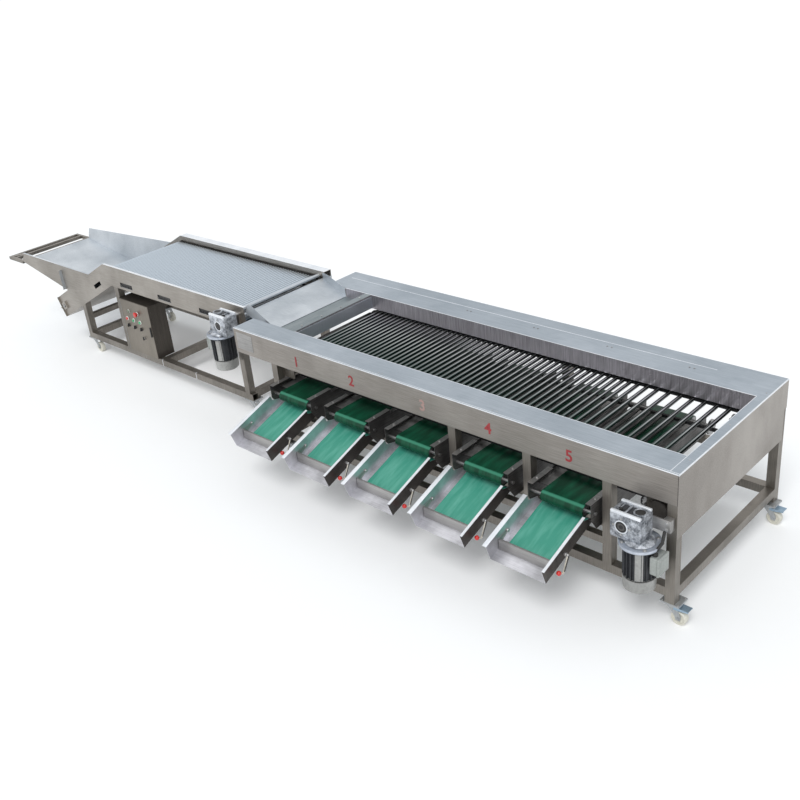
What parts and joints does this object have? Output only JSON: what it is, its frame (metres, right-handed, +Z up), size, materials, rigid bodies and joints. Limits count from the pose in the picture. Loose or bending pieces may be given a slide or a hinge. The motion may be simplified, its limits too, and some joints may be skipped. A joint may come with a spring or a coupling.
{
  "type": "fruit grading machine",
  "caption": "roller fruit grader on casters: infeed elevator with hopper and control box feeding a long roller sizer with belt outlets, sloping trays, swing gates and worm gearmotors",
  "frame": {"origin": "centre of the overall box, on the floor under the wheels", "axes": "+X along the machine from the hopper to the sizer's far end, +Y from the outlet trays to the rear, +Z up"},
  "size_m": [6.636, 1.5294, 0.8916],
  "materials": {
    "frame_steel": "brushed, box section",
    "panel_steel": "brushed sheet",
    "cover_steel": "bright sheet",
    "roller_steel": "bright rollers",
    "chain_steel": "dark oiled",
    "guard_black": "matte",
    "belt_green": "smooth belt",
    "mat_green": "soft mat",
    "curtain": "flexible curtain",
    "gate_steel": "brushed",
    "cast_metal": "rough cast",
    "box_steel": "brushed sheet",
    "button_white": "gloss",
    "knob_black": "matte",
    "stop_red": "gloss",
    "wheel_ivory": "smooth",
    "zinc": "zinc plated",
    "pedal_blue": "blue zinc"
  },
  "bodies": {
    "machine": {"sizer_frame": "frame_steel", "drive_guard": "guard_black", "outer_panels": "panel_steel", "top_covers": "cover_steel", "trough_plates": "cover_steel", "grading_rollers": "roller_steel", "roller_chains": "chain_steel", "outlet_frames": "gate_steel", "outlet_belts": "belt_green", "outlet_trays": "cover_steel", "tray_mats": "mat_green", "sizer_gearmotor": "cast_metal", "infeed_gearmotor": "cast_metal", "deck_side_plates": "panel_steel", "deck_rollers": "roller_steel", "infeed_frame": "frame_steel", "hopper": "cover_steel", "discharge_chute": "cover_steel", "control_box": "box_steel", "fasteners": "zinc"},
    "feed_flap": {"feed_flap": "curtain"},
    "main_drive_shaft": {"main_drive_shaft": "gate_steel"},
    "main_tail_shaft": {"main_tail_shaft": "gate_steel"},
    "gearbox_output": {"gearbox_output": "gate_steel"},
    "outlet_drums": {"outlet_drums": "gate_steel"},
    "belt_line_shaft": {"belt_line_shaft": "gate_steel"},
    "gate_1": {"gate_1": "gate_steel"},
    "gate_2": {"gate_2": "gate_steel"},
    "gate_3": {"gate_3": "gate_steel"},
    "gate_4": {"gate_4": "gate_steel"},
    "gate_5": {"gate_5": "gate_steel"},
    "infeed_drive_shaft": {"infeed_drive_shaft": "gate_steel"},
    "infeed_tail_shaft": {"infeed_tail_shaft": "gate_steel"},
    "control_door": {"control_door": "box_steel"},
    "push_button_1": {"push_button_1": "button_white"},
    "rotary_knob_1": {"rotary_knob_1": "knob_black"},
    "push_button_2": {"push_button_2": "button_white"},
    "rotary_knob_2": {"rotary_knob_2": "knob_black"},
    "push_button_3": {"push_button_3": "button_white"},
    "rotary_knob_3": {"rotary_knob_3": "knob_black"},
    "emergency_stop": {"emergency_stop": "stop_red"},
    "door_latch": {"door_latch": "knob_black"},
    "fork_sizer_left_front": {"fork_sizer_left_front": "zinc"},
    "wheel_sizer_left_front": {"wheel_sizer_left_front": "wheel_ivory"},
    "fork_sizer_left_rear": {"fork_sizer_left_rear": "zinc"},
    "wheel_sizer_left_rear": {"wheel_sizer_left_rear": "wheel_ivory"},
    "fork_sizer_right_front": {"fork_sizer_right_front": "zinc"},
    "wheel_sizer_right_front": {"wheel_sizer_right_front": "wheel_ivory"},
    "brake_pedal_front": {"brake_pedal_front": "pedal_blue"},
    "fork_sizer_right_rear": {"fork_sizer_right_rear": "zinc"},
    "wheel_sizer_right_rear": {"wheel_sizer_right_rear": "wheel_ivory"},
    "brake_pedal_rear": {"brake_pedal_rear": "pedal_blue"},
    "fork_infeed_left_front": {"fork_infeed_left_front": "zinc"},
    "wheel_infeed_left_front": {"wheel_infeed_left_front": "wheel_ivory"},
    "fork_infeed_left_rear": {"fork_infeed_left_rear": "zinc"},
    "wheel_infeed_left_rear": {"wheel_infeed_left_rear": "wheel_ivory"},
    "fork_infeed_right_front": {"fork_infeed_right_front": "zinc"},
    "wheel_infeed_right_front": {"wheel_infeed_right_front": "wheel_ivory"},
    "fork_infeed_right_rear": {"fork_infeed_right_rear": "zinc"},
    "wheel_infeed_right_rear": {"wheel_infeed_right_rear": "wheel_ivory"}
  },
  "joints": [
    {"name": "head_shaft_spin", "type": "hinge", "parent": "machine", "child": "main_drive_shaft", "pos_m": [3.125, 0.21468, 0.65264], "axis": [0, 1, 0], "continuous": true},
    {"name": "tail_shaft_spin", "type": "hinge", "parent": "machine", "child": "main_tail_shaft", "pos_m": [0.577, 0.21468, 0.65264], "axis": [0, 1, 0], "continuous": true},
    {"name": "gearbox_output_spin", "type": "hinge", "parent": "machine", "child": "gearbox_output", "pos_m": [3.057, -0.33532, 0.57964], "axis": [0, 1, 0], "continuous": true},
    {"name": "line_shaft_spin", "type": "hinge", "parent": "machine", "child": "belt_line_shaft", "pos_m": [1.695, 0.65468, 0.51364], "axis": [1, 0, 0], "continuous": true},
    {"name": "front_drums_spin", "type": "hinge", "parent": "machine", "child": "outlet_drums", "pos_m": [1.695, -0.37532, 0.51364], "axis": [1, 0, 0], "continuous": true},
    {"name": "deck_head_spin", "type": "hinge", "parent": "machine", "child": "infeed_drive_shaft", "pos_m": [-0.133, 0.31468, 0.75764], "axis": [0, 1, 0], "continuous": true},
    {"name": "deck_tail_spin", "type": "hinge", "parent": "machine", "child": "infeed_tail_shaft", "pos_m": [-2.5043, 0.31468, 0.3513], "axis": [0, 1, 0], "continuous": true},
    {"name": "feed_flap_swing", "type": "hinge", "parent": "machine", "child": "feed_flap", "pos_m": [0.5588, 0.17118, 0.83664], "axis": [0, -1, 0], "range_deg": [0, 70]},
    {"name": "gate_1_swing", "type": "hinge", "parent": "machine", "child": "gate_1", "pos_m": [0.721, -0.59732, 0.40364], "axis": [-1, 0, 0], "range_deg": [0, 65]},
    {"name": "gate_2_swing", "type": "hinge", "parent": "machine", "child": "gate_2", "pos_m": [1.208, -0.59732, 0.40364], "axis": [-1, 0, 0], "range_deg": [0, 65]},
    {"name": "gate_3_swing", "type": "hinge", "parent": "machine", "child": "gate_3", "pos_m": [1.695, -0.59732, 0.40364], "axis": [-1, 0, 0], "range_deg": [0, 65]},
    {"name": "gate_4_swing", "type": "hinge", "parent": "machine", "child": "gate_4", "pos_m": [2.182, -0.59732, 0.40364], "axis": [-1, 0, 0], "range_deg": [0, 65]},
    {"name": "gate_5_swing", "type": "hinge", "parent": "machine", "child": "gate_5", "pos_m": [2.669, -0.59732, 0.40364], "axis": [-1, 0, 0], "range_deg": [0, 65]},
    {"name": "control_door_swing", "type": "hinge", "parent": "machine", "child": "control_door", "pos_m": [-1.5997, -0.09532, 0.36664], "axis": [0, 0, -1], "range_deg": [0, 110]},
    {"name": "push_button_1_press", "type": "slide", "parent": "control_door", "child": "push_button_1", "axis": [0, 1, 0], "range_m": [0, 0.005], "stiffness_N_per_m": 200},
    {"name": "rotary_knob_1_turn", "type": "hinge", "parent": "control_door", "child": "rotary_knob_1", "pos_m": [-1.535, -0.09532, 0.39464], "axis": [0, 1, 0], "range_deg": [-60, 60]},
    {"name": "push_button_2_press", "type": "slide", "parent": "control_door", "child": "push_button_2", "axis": [0, 1, 0], "range_m": [0, 0.005], "stiffness_N_per_m": 200},
    {"name": "rotary_knob_2_turn", "type": "hinge", "parent": "control_door", "child": "rotary_knob_2", "pos_m": [-1.45, -0.09532, 0.39464], "axis": [0, 1, 0], "range_deg": [-60, 60]},
    {"name": "push_button_3_press", "type": "slide", "parent": "control_door", "child": "push_button_3", "axis": [0, 1, 0], "range_m": [0, 0.005], "stiffness_N_per_m": 200},
    {"name": "rotary_knob_3_turn", "type": "hinge", "parent": "control_door", "child": "rotary_knob_3", "pos_m": [-1.366, -0.09532, 0.39464], "axis": [0, 1, 0], "range_deg": [-60, 60]},
    {"name": "emergency_stop_press", "type": "slide", "parent": "control_door", "child": "emergency_stop", "axis": [0, 1, 0], "range_m": [0, 0.006]},
    {"name": "door_latch_turn", "type": "hinge", "parent": "control_door", "child": "door_latch", "pos_m": [-1.351, -0.09532, 0.32464], "axis": [0, 1, 0], "range_deg": [0, 90]},
    {"name": "swivel_sizer_left_front", "type": "hinge", "parent": "machine", "child": "fork_sizer_left_front", "pos_m": [0.511, -0.29082, 0.10864], "axis": [0, 0, 1], "continuous": true},
    {"name": "roll_sizer_left_front", "type": "hinge", "parent": "fork_sizer_left_front", "child": "wheel_sizer_left_front", "pos_m": [0.546, -0.29082, 0.03864], "axis": [0, 1, 0], "continuous": true},
    {"name": "swivel_sizer_left_rear", "type": "hinge", "parent": "machine", "child": "fork_sizer_left_rear", "pos_m": [0.511, 0.72018, 0.10864], "axis": [0, 0, 1], "continuous": true},
    {"name": "roll_sizer_left_rear", "type": "hinge", "parent": "fork_sizer_left_rear", "child": "wheel_sizer_left_rear", "pos_m": [0.546, 0.72018, 0.03864], "axis": [0, 1, 0], "continuous": true},
    {"name": "swivel_sizer_right_front", "type": "hinge", "parent": "machine", "child": "fork_sizer_right_front", "pos_m": [3.23, -0.29082, 0.10864], "axis": [0, 0, 1], "continuous": true},
    {"name": "roll_sizer_right_front", "type": "hinge", "parent": "fork_sizer_right_front", "child": "wheel_sizer_right_front", "pos_m": [3.265, -0.29082, 0.03864], "axis": [0, 1, 0], "continuous": true},
    {"name": "brake_front_press", "type": "hinge", "parent": "fork_sizer_right_front", "child": "brake_pedal_front", "pos_m": [3.25, -0.29082, 0.09264], "axis": [0, 1, 0], "range_deg": [0, 12]},
    {"name": "swivel_sizer_right_rear", "type": "hinge", "parent": "machine", "child": "fork_sizer_right_rear", "pos_m": [3.23, 0.72018, 0.10864], "axis": [0, 0, 1], "continuous": true},
    {"name": "roll_sizer_right_rear", "type": "hinge", "parent": "fork_sizer_right_rear", "child": "wheel_sizer_right_rear", "pos_m": [3.265, 0.72018, 0.03864], "axis": [0, 1, 0], "continuous": true},
    {"name": "brake_rear_press", "type": "hinge", "parent": "fork_sizer_right_rear", "child": "brake_pedal_rear", "pos_m": [3.25, 0.72018, 0.09264], "axis": [0, 1, 0], "range_deg": [0, 12]},
    {"name": "swivel_infeed_left_front", "type": "hinge", "parent": "machine", "child": "fork_infeed_left_front", "pos_m": [-2.195, -0.04282, 0.10864], "axis": [0, 0, 1], "continuous": true},
    {"name": "roll_infeed_left_front", "type": "hinge", "parent": "fork_infeed_left_front", "child": "wheel_infeed_left_front", "pos_m": [-2.16, -0.04282, 0.03864], "axis": [0, 1, 0], "continuous": true},
    {"name": "swivel_infeed_left_rear", "type": "hinge", "parent": "machine", "child": "fork_infeed_left_rear", "pos_m": [-2.195, 0.67218, 0.10864], "axis": [0, 0, 1], "continuous": true},
    {"name": "roll_infeed_left_rear", "type": "hinge", "parent": "fork_infeed_left_rear", "child": "wheel_infeed_left_rear", "pos_m": [-2.16, 0.67218, 0.03864], "axis": [0, 1, 0], "continuous": true},
    {"name": "swivel_infeed_right_front", "type": "hinge", "parent": "machine", "child": "fork_infeed_right_front", "pos_m": [-0.168, -0.04282, 0.10864], "axis": [0, 0, 1], "continuous": true},
    {"name": "roll_infeed_right_front", "type": "hinge", "parent": "fork_infeed_right_front", "child": "wheel_infeed_right_front", "pos_m": [-0.133, -0.04282, 0.03864], "axis": [0, 1, 0], "continuous": true},
    {"name": "swivel_infeed_right_rear", "type": "hinge", "parent": "machine", "child": "fork_infeed_right_rear", "pos_m": [-0.168, 0.67218, 0.10864], "axis": [0, 0, 1], "continuous": true},
    {"name": "roll_infeed_right_rear", "type": "hinge", "parent": "fork_infeed_right_rear", "child": "wheel_infeed_right_rear", "pos_m": [-0.133, 0.67218, 0.03864], "axis": [0, 1, 0], "continuous": true}
  ],
  "couplings": [
    {"joint": "tail_shaft_spin", "follows": "head_shaft_spin", "ratio": 1},
    {"joint": "gearbox_output_spin", "follows": "head_shaft_spin", "ratio": 1.3},
    {"joint": "front_drums_spin", "follows": "line_shaft_spin", "ratio": 1},
    {"joint": "deck_tail_spin", "follows": "deck_head_spin", "ratio": 1}
  ]
}
